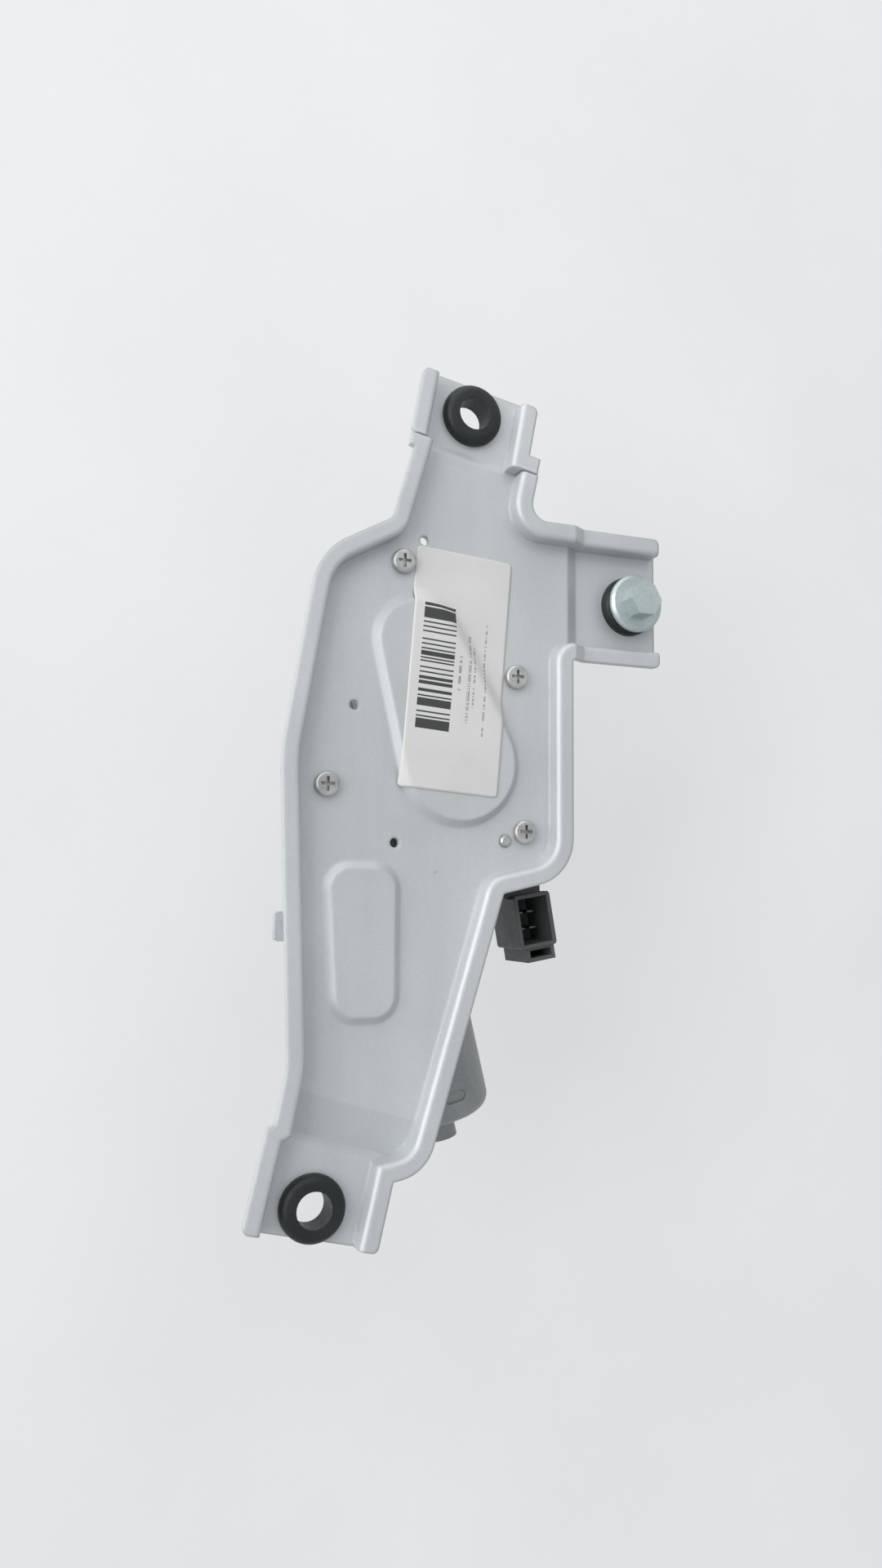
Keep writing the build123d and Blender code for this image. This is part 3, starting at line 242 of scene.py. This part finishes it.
def label_paper():
    """Off-white paper with a block of plain bars and rows of faint dashes, which stand for print."""
    # The layout in millimetres: across from the label's left edge, and up from its top edge, so below it is minus.
    bar_block = (3.4, 14.8), (-59.0, -18.4)
    bar_pitch, bar_gap_chance = 0.50, 0.42
    group_pitch, group_length, group_shift = 7.0, 6.1, 100.6
    dash_rows = (  # left edge, width, lower end, upper end and a seed
        (16.6, 0.9, -45.0, -34.0, 3.0),
        (19.8, 1.0, -55.0, -26.5, 7.0),
        (21.6, 0.9, -50.0, -30.0, 5.0),
        (25.6, 0.8, -59.0, -22.0, 11.0),
    )
    dash_pitch, dash_gap_chance = 0.42, 0.38
    stroke_pitch, stroke_gap_chance = 0.21, 0.25
    strong_ink, faint_ink = (0.040, 0.042, 0.045), (0.33, 0.33, 0.33)

    material, nodes, links, shader, coords = new_material("label_paper")
    on_label = nodes.new("ShaderNodeMapping")
    on_label.vector_type = "TEXTURE"
    on_label.inputs["Location"].default_value = (LABEL_CORNER[0] * MM, LABEL_CORNER[1] * MM, PLATE_TOP)
    on_label.inputs["Rotation"].default_value = (0.0, 0.0, LABEL_TURN)
    on_label.inputs["Scale"].default_value = (MM, MM, MM)
    links.new(coords.outputs["Object"], on_label.inputs["Vector"])
    parts = nodes.new("ShaderNodeSeparateXYZ")
    links.new(on_label.outputs["Vector"], parts.inputs["Vector"])
    across, up_label = parts.outputs["X"], parts.outputs["Y"]

    def calc(operation, first, second=None):
        node = nodes.new("ShaderNodeMath")
        node.operation = operation
        for socket, value in zip(node.inputs, (first, second)):
            if isinstance(value, bpy.types.NodeSocket):
                links.new(value, socket)
            elif value is not None:
                socket.default_value = value
        return node.outputs[0]

    def between(value, low, high):
        return calc("MULTIPLY", calc("GREATER_THAN", value, low), calc("LESS_THAN", value, high))

    def strips(value, pitch, gap_chance):
        """1 on some of the even strips along a direction and 0 on the others, by chance."""
        chance = nodes.new("ShaderNodeTexWhiteNoise")
        chance.noise_dimensions = "1D"
        links.new(calc("FLOOR", calc("DIVIDE", value, pitch)), chance.inputs["W"])
        return calc("GREATER_THAN", chance.outputs["Value"], gap_chance)

    along_group = calc("FLOORED_MODULO", calc("ADD", up_label, group_shift), group_pitch)
    in_group = calc("LESS_THAN", along_group, group_length)
    bars = calc("MULTIPLY", strips(up_label, bar_pitch, bar_gap_chance), in_group)
    ink = calc("MULTIPLY", bars, calc("MULTIPLY", between(across, *bar_block[0]), between(up_label, *bar_block[1])))
    faint = None
    for left, width, low, high, seed in dash_rows:
        dashes = strips(calc("ADD", up_label, seed * 37.1), dash_pitch, dash_gap_chance)
        strokes = strips(calc("ADD", across, seed * 11.3), stroke_pitch, stroke_gap_chance)
        place = calc("MULTIPLY", between(across, left, left + width), between(up_label, low, high))
        row = calc("MULTIPLY", place, calc("MULTIPLY", dashes, strokes))
        faint = row if faint is None else calc("MAXIMUM", faint, row)

    fibre = noise(nodes, links, coords, 1500.0, 3.0)
    stain = noise(nodes, links, coords, 45.0, 4.0)
    paper = ramp(nodes, links, stain, [(0.3, (0.63, 0.625, 0.61)), (0.7, (0.68, 0.678, 0.665))])
    with_dashes = mix_colours(nodes, links, faint, paper, faint_ink)
    links.new(mix_colours(nodes, links, ink, with_dashes, strong_ink), shader.inputs["Base Color"])
    shader.inputs["Roughness"].default_value = 0.62
    bump(nodes, links, shader, fibre, 0.15, 0.02 * MM)
    return material


def in_sight(nodes, links):
    """1 for what is seen directly or in metal or glass, and 0 for the light that a surface gets."""
    path = nodes.new("ShaderNodeLightPath")
    total = path.outputs["Is Camera Ray"]
    for kind in ("Is Glossy Ray", "Is Transmission Ray"):
        either = nodes.new("ShaderNodeMath")
        either.operation = "MAXIMUM"
        links.new(total, either.inputs[0])
        links.new(path.outputs[kind], either.inputs[1])
        total = either.outputs[0]
    return total


def map_range(nodes, links, source, low, high, out_low, out_high):
    """Maps a number from one range to another, and holds it at the ends."""
    node = nodes.new("ShaderNodeMapRange")
    for label, value in {"From Min": low, "From Max": high, "To Min": out_low, "To Max": out_high}.items():
        node.inputs[label].default_value = value
    links.new(source, node.inputs["Value"])
    return node.outputs["Result"]


def painted_floor():
    """A plain pale floor, faintly uneven, which takes shadow near the object and is even far from it."""
    near, far = 0.5, 1.1
    even_near, even_far = 0.55, 1.0

    material, nodes, links, shader, coords = new_material("painted_floor")
    broad = noise(nodes, links, coords, 6.0, 5.0)
    colour = ramp(nodes, links, broad, [(0.3, (0.790, 0.797, 0.805)), (0.7, (0.835, 0.842, 0.850))])
    links.new(colour, shader.inputs["Base Color"])
    shader.inputs["Roughness"].default_value = 0.6
    grain = noise(nodes, links, coords, 220.0, 6.0)
    bump(nodes, links, shader, grain, 0.2, 0.4 * MM)

    reach = nodes.new("ShaderNodeVectorMath")
    reach.operation = "LENGTH"
    links.new(coords.outputs["Object"], reach.inputs[0])
    share = nodes.new("ShaderNodeMath")
    share.operation = "MULTIPLY"
    links.new(in_sight(nodes, links), share.inputs[0])
    links.new(map_range(nodes, links, reach.outputs["Value"], near, far, even_near, even_far), share.inputs[1])
    even = nodes.new("ShaderNodeEmission")
    links.new(colour, even.inputs["Color"])
    blend = nodes.new("ShaderNodeMixShader")
    links.new(share.outputs[0], blend.inputs["Fac"])
    links.new(shader.outputs["BSDF"], blend.inputs[1])
    links.new(even.outputs["Emission"], blend.inputs[2])
    output = next(node for node in nodes if node.type == "OUTPUT_MATERIAL")
    links.new(blend.outputs["Shader"], output.inputs["Surface"])
    return material


finishes = {
    "bracket_plate": zinc_sheet,
    "grommet_top": grommet_rubber,
    "grommet_side": grommet_rubber,
    "grommet_bottom": grommet_rubber,
    "side_sleeve": turned_steel,
    "mounting_bolt": zinc_bolt,
    "gear_housing": die_cast,
    "cover_gasket": gasket_rubber,
    "cover_screws": zinc_screw,
    "locating_pin": zinc_screw,
    "shaft_bushes": bronze,
    "shaft_seal": gasket_rubber,
    "thrust_ring": gear_plastic,
    "wheel_axle": turned_steel,
    "axle_clip": turned_steel,
    "contact_plate": plug_plastic,
    "contact_fingers": spring_brass,
    "front_bearing": bronze,
    "middle_bearing": bronze,
    "rear_bearing": bronze,
    "thrust_ball": turned_steel,
    "motor_can": can_steel,
    "magnets": ferrite,
    "can_screws": zinc_screw,
    "brush_holder": plug_plastic,
    "brushes": ferrite,
    "brush_springs": turned_steel,
    "connector_housing": plug_plastic,
    "connector_terminals": tinned_blade,
    "label": label_paper(),
    "side_clip": clip_plastic,
    "armature_shaft": turned_steel,
    "armature_core": can_steel,
    "armature_windings": copper,
    "commutator": copper,
    "worm_wheel": gear_plastic,
    "crank_disc": turned_steel,
    "crank_pin": turned_steel,
    "contact_ring": spring_brass,
    "output_shaft": turned_steel,
    "output_lever": turned_steel,
    "lever_pin": turned_steel,
    "shaft_washer": zinc_screw,
    "shaft_clip": turned_steel,
    "connecting_rod": turned_steel,
}
for name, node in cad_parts.items():
    mesh = node.data
    mesh.materials.clear()
    mesh.materials.append(finishes[name])


# ---------------------------------------------------------------- label over the dome

def dome_depth(x, y):
    """How far inside the dome's foot a point lies, in millimetres; negative outside."""
    stations = 32
    deepest = -math.inf
    for station in range(stations + 1):
        share = station / stations
        reach = DOME_AT_WHEEL + (DOME_AT_SHAFT - DOME_AT_WHEEL) * share
        centre = (WHEEL_AXLE[0] * (1.0 - share), WHEEL_AXLE[1] * (1.0 - share))
        deepest = max(deepest, reach - math.dist((x, y), centre))
    return deepest


def nearest_corner(value, length):
    """The centre of the rounded corner that a place along an edge belongs to, or None between the corners."""
    if value < LABEL_ROUND:
        return LABEL_ROUND
    if value > length - LABEL_ROUND:
        return length - LABEL_ROUND
    return None


def label_point(x, y):
    """The place in metres of a point given across and down the label, with its corners rounded."""
    slope_start, slope_run = -2.8, 5.2  # the paper rises from outside the dome's foot, over this distance
    dome_rise, lift = 2.52, 0.22

    corner = (nearest_corner(x, LABEL_WIDTH), nearest_corner(y, LABEL_LENGTH))
    if None not in corner:
        far = math.dist((x, y), corner)
        if far > LABEL_ROUND:
            x = corner[0] + (x - corner[0]) * LABEL_ROUND / far
            y = corner[1] + (y - corner[1]) * LABEL_ROUND / far
    cos_turn, sin_turn = math.cos(LABEL_TURN), math.sin(LABEL_TURN)
    plan_x = LABEL_CORNER[0] + x * cos_turn + y * sin_turn
    plan_y = LABEL_CORNER[1] + x * sin_turn - y * cos_turn
    share = min(1.0, max(0.0, (dome_depth(plan_x, plan_y) - slope_start) / slope_run))
    rise = dome_rise * share * share * (3.0 - 2.0 * share) + lift
    return (plan_x / 1000, plan_y / 1000, PLATE_TOP + rise / 1000)


def make_label():
    """A rounded paper sheet that lies on the bracket's floor and bridges the dome's edges softly."""
    spacing, thickness = 0.75, 0.16
    columns, rows = round(LABEL_WIDTH / spacing), round(LABEL_LENGTH / spacing)
    shape = bmesh.new()
    grid = [
        [shape.verts.new(label_point(LABEL_WIDTH * column / columns, LABEL_LENGTH * row / rows))
         for column in range(columns + 1)]
        for row in range(rows + 1)
    ]
    for upper, lower in zip(grid, grid[1:]):
        for column in range(columns):
            shape.faces.new((upper[column], lower[column], lower[column + 1], upper[column + 1]))
    bmesh.ops.recalc_face_normals(shape, faces=shape.faces)
    if sum(face.normal.z for face in shape.faces) < 0:
        bmesh.ops.reverse_faces(shape, faces=shape.faces)
    mesh = bpy.data.meshes.new("paper_label")
    shape.to_mesh(mesh)
    shape.free()
    for face in mesh.polygons:
        face.use_smooth = True
    sheet = bpy.data.objects.new("paper_label", mesh)
    bpy.context.collection.objects.link(sheet)
    wall = sheet.modifiers.new("thickness", "SOLIDIFY")
    wall.thickness = thickness * MM
    wall.offset = -1.0
    baked = bpy.data.meshes.new_from_object(sheet.evaluated_get(bpy.context.evaluated_depsgraph_get()))
    sheet.modifiers.clear()
    sheet.data = baked
    baked.materials.clear()
    baked.materials.append(finishes["label"])
    return sheet


paper_label = make_label()
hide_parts("label")
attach(paper_label, "frame")


# ---------------------------------------------------------------- repeated details

SOCKET_KINDS = {float: "NodeSocketFloat", int: "NodeSocketInt", tuple: "NodeSocketVector"}


def start_tree(name, sizes):
    """A geometry tree with named size inputs, a material input and one geometry output."""
    tree = bpy.data.node_groups.new(name, "GeometryNodeTree")
    tree.interface.new_socket(name="Geometry", in_out="OUTPUT", socket_type="NodeSocketGeometry")
    for label, value in sizes.items():
        socket = tree.interface.new_socket(name=label, in_out="INPUT", socket_type=SOCKET_KINDS[type(value)])
        socket.default_value = value
    tree.interface.new_socket(name="Finish", in_out="INPUT", socket_type="NodeSocketMaterial")
    return tree, tree.nodes.new("NodeGroupInput"), tree.nodes.new("NodeGroupOutput")


def add_node(tree, kind, **wires):
    """Adds a node; each keyword names an input, or its number after _, with a socket or a plain value."""
    node = tree.nodes.new(kind)
    for label, value in wires.items():
        socket = node.inputs[int(label[1:])] if label[0] == "_" else node.inputs[label.replace("_", " ")]
        if isinstance(value, bpy.types.NodeSocket):
            tree.links.new(value, socket)
        else:
            socket.default_value = value
    return node


def maths(tree, operation, first, second):
    node = add_node(tree, "ShaderNodeMath", _0=first, _1=second)
    node.operation = operation
    return node.outputs[0]


def end_tree(tree, entry, leave, geometry):
    """Closes a tree: real geometry, with its finish set."""
    real = add_node(tree, "GeometryNodeRealizeInstances", Geometry=geometry)
    finish = add_node(tree, "GeometryNodeSetMaterial", Geometry=real.outputs["Geometry"],
                      Material=entry.outputs["Finish"])
    tree.links.new(finish.outputs["Geometry"], leave.inputs["Geometry"])
    return tree


def screw_thread_tree():
    """A helical crest round an upright shaft, from its foot up."""
    tree, entry, leave = start_tree("screw_thread", {
        "Turns": 13.0, "Radius": 0.004, "Height": 0.016, "Crest": 0.0004, "Foot": (0.0, 0.0, 0.0),
    })
    radius = entry.outputs["Radius"]
    path = add_node(tree, "GeometryNodeCurveSpiral", Resolution=28, Rotations=entry.outputs["Turns"],
                    Start_Radius=radius, End_Radius=radius, Height=entry.outputs["Height"])
    crest = add_node(tree, "GeometryNodeCurvePrimitiveCircle", Resolution=4, Radius=entry.outputs["Crest"])
    thread = add_node(tree, "GeometryNodeCurveToMesh", Curve=path.outputs["Curve"],
                      Profile_Curve=crest.outputs["Curve"], Fill_Caps=True)
    moved = add_node(tree, "GeometryNodeTransform", Geometry=thread.outputs["Mesh"],
                     Translation=entry.outputs["Foot"])
    return end_tree(tree, entry, leave, moved.outputs["Geometry"])


def narrowed(tree, block, size, foot):
    """Narrows a block towards its foot, to this share of its length there."""
    where = add_node(tree, "GeometryNodeInputPosition")
    parts = add_node(tree, "ShaderNodeSeparateXYZ", Vector=where.outputs["Position"])
    height = add_node(tree, "ShaderNodeSeparateXYZ", Vector=size).outputs["Z"]
    share = maths(tree, "ADD", maths(tree, "DIVIDE", parts.outputs["Z"], height), 0.5)
    spread = maths(tree, "ADD", foot, maths(tree, "MULTIPLY", share, maths(tree, "SUBTRACT", 1.0, foot)))
    shaped = add_node(tree, "ShaderNodeCombineXYZ", X=maths(tree, "MULTIPLY", parts.outputs["X"], spread),
                      Y=parts.outputs["Y"], Z=parts.outputs["Z"])
    moved = add_node(tree, "GeometryNodeSetPosition", Geometry=block, Position=shaped.outputs["Vector"])
    return moved.outputs["Geometry"]


def ring_tree(name, sizes):
    """Blocks set evenly round an upright axis; a Lean input tilts each one, and a Foot input narrows it down."""
    tree, entry, leave = start_tree(name, sizes)
    block = add_node(tree, "GeometryNodeMeshCube", Size=entry.outputs["Block"]).outputs["Mesh"]
    if "Foot" in sizes:
        block = narrowed(tree, block, entry.outputs["Block"], entry.outputs["Foot"])
    if "Lean" in sizes:
        lean = add_node(tree, "ShaderNodeCombineXYZ", Y=entry.outputs["Lean"])
        block = add_node(tree, "GeometryNodeTransform", Geometry=block,
                         Rotation=lean.outputs["Vector"]).outputs["Geometry"]
    out = add_node(tree, "ShaderNodeCombineXYZ", X=entry.outputs["Radius"])
    block = add_node(tree, "GeometryNodeTransform", Geometry=block,
                     Translation=out.outputs["Vector"]).outputs["Geometry"]
    points = add_node(tree, "GeometryNodePoints", Count=entry.outputs["Count"], Position=entry.outputs["Centre"])
    number = add_node(tree, "GeometryNodeInputIndex").outputs["Index"]
    angle = maths(tree, "ADD", entry.outputs["Start"], maths(tree, "MULTIPLY", number, entry.outputs["Step"]))
    turned = add_node(tree, "ShaderNodeCombineXYZ", Z=angle)
    ring = add_node(tree, "GeometryNodeInstanceOnPoints", Points=points.outputs[0], Instance=block,
                    Rotation=turned.outputs["Vector"])
    return end_tree(tree, entry, leave, ring.outputs["Instances"])


def grow(name, tree, body, slot, finish, **sizes):
    """Makes a plain mesh from a tree with these sizes, and puts it on a body."""
    piece = bpy.data.objects.new(name, bpy.data.meshes.new(name))
    bpy.context.collection.objects.link(piece)
    modifier = piece.modifiers.new("shape", "NODES")
    modifier.node_group = tree
    keys = {item.name: item.identifier for item in tree.interface.items_tree if item.in_out == "INPUT"}
    modifier[keys["Finish"]] = finish
    for label, value in sizes.items():
        modifier[keys[label]] = value
    piece.update_tag()
    bpy.context.view_layer.update()
    shape = bpy.data.meshes.new_from_object(piece.evaluated_get(bpy.context.evaluated_depsgraph_get()))
    piece.modifiers.clear()
    piece.data = shape
    shape.name = name
    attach(piece, body)
    return piece


thread = screw_thread_tree()
thread_sizes = {"Turns": 12.5, "Radius": 0.00395, "Height": 0.0156, "Crest": 0.00035}
grow("output_thread", thread, "output", "output_shaft", turned_steel,
     Foot=(0.0, 0.0, OUTPUT_TIP), **thread_sizes)
grow("bolt_thread", thread, "bolt", "mounting_bolt", zinc_bolt,
     Foot=(*SIDE_BOLT, SIDE_BOLT_TIP), **thread_sizes)

spline_count = 36
cone_lean = math.atan(1.0 / 7.0)
splines = ring_tree("cone_splines", {
    "Count": spline_count, "Step": math.tau / spline_count, "Start": 0.0, "Radius": 0.0045, "Lean": cone_lean,
    "Block": (0.0005, 0.00038, 0.0058), "Centre": (0.0, 0.0, 0.0035),
})
grow("shaft_splines", splines, "output", "output_shaft", turned_steel)

# Each web block goes right through the tower, so three blocks a sixth of a turn apart make six webs.
webs = ring_tree("tower_webs", {
    "Count": 3, "Step": math.tau / 6, "Start": 0.35, "Radius": 0.0, "Foot": 0.60,
    "Block": (0.038, 0.0022, 0.024), "Centre": (0.0, 0.0, 0.0455),
})
grow("housing_webs", webs, "frame", "gear_housing", die_cast)


# ---------------------------------------------------------------- floor and lamps

floor_half, floor_gap = 3.0, 0.5 * MM
floor_mesh = bpy.data.meshes.new("floor")
floor_shape = bmesh.new()
bmesh.ops.create_grid(floor_shape, x_segments=1, y_segments=1, size=floor_half)
floor_shape.to_mesh(floor_mesh)
floor_shape.free()
floor = bpy.data.objects.new("floor", floor_mesh)
bpy.context.collection.objects.link(floor)
floor.location = (0.0, 0.0, cad_box[0][2] - floor_gap)
floor_mesh.materials.append(painted_floor())


def lamp(name, place, target, size, power):
    """A square soft lamp that faces a target."""
    data = bpy.data.lights.new(name, "AREA")
    data.size = size
    data.energy = power
    light = bpy.data.objects.new(name, data)
    bpy.context.collection.objects.link(light)
    light.location = place
    light.rotation_euler = (Vector(target) - Vector(place)).to_track_quat("-Z", "Y").to_euler()


lamp("left_window", place=(-1.65, 0.25, 0.80), target=(0.0, 0.02, 0.06), size=1.8, power=33.0)
lamp("far_window", place=(-0.20, 1.10, 0.72), target=(0.0, 0.0, 0.06), size=1.7, power=10.5)

world = bpy.data.worlds.new("studio")
bpy.context.scene.world = world
world.use_nodes = True
sky_nodes, sky_links = world.node_tree.nodes, world.node_tree.links
light_strength, backdrop_strength = 0.46, 0.80
backdrop = sky_nodes["Background"]
backdrop.inputs["Color"].default_value = (0.95, 0.975, 1.0, 1.0)
strength = map_range(sky_nodes, sky_links, in_sight(sky_nodes, sky_links), 0.0, 1.0,
                     light_strength, backdrop_strength)
sky_links.new(strength, backdrop.inputs["Strength"])
